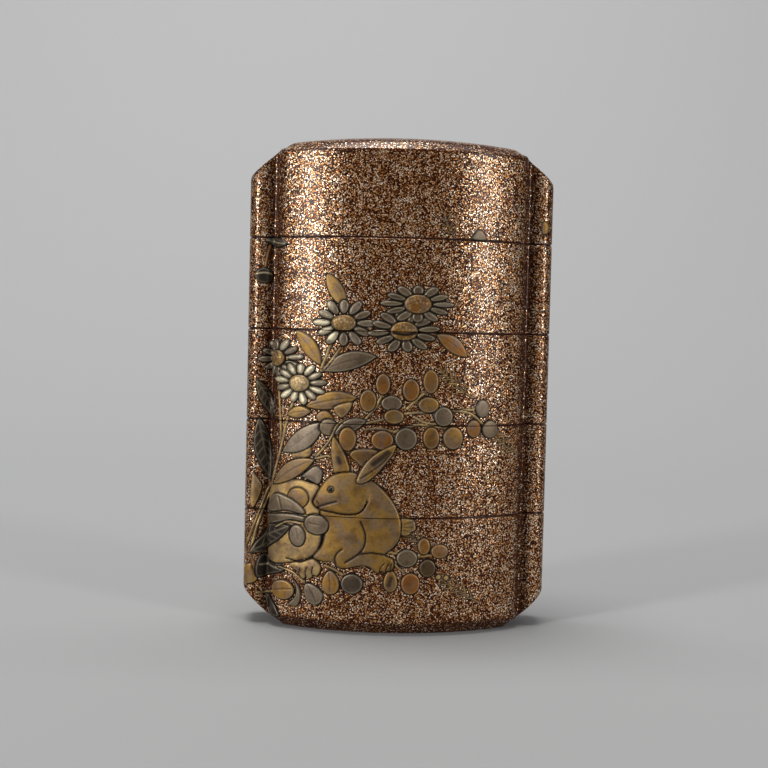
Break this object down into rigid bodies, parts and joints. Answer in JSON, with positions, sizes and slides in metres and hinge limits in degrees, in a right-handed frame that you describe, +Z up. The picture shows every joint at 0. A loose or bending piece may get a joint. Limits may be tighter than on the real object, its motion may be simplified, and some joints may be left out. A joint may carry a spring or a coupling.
{
  "type": "inro case",
  "caption": "Flat oval stacking box of lidded nesting tiers with a cord channel down each side and raised figures of rabbits and flowers.",
  "frame": {"origin": "centre of the flat foot", "axes": "+Z up along the stack, +X to the right along the width, the decorated front faces -Y"},
  "size_m": [0.054, 0.0286, 0.0863],
  "materials": {
    "flake_lacquer": "polished dark lacquer thickly sprinkled with gold flakes",
    "gold_relief": "burnished gold powder on raised lacquer",
    "silver_relief": "burnished silver-gold powder on raised lacquer",
    "dark_relief": "dark raised lacquer with a thin dusting of silver",
    "inner_lacquer": "polished red-brown lacquer with sparse gold flakes"
  },
  "bodies": {
    "root": {"lid": "flake_lacquer", "case_1": "flake_lacquer", "case_2": "flake_lacquer", "case_3": "flake_lacquer", "case_4": "flake_lacquer"}
  },
  "joints": []
}
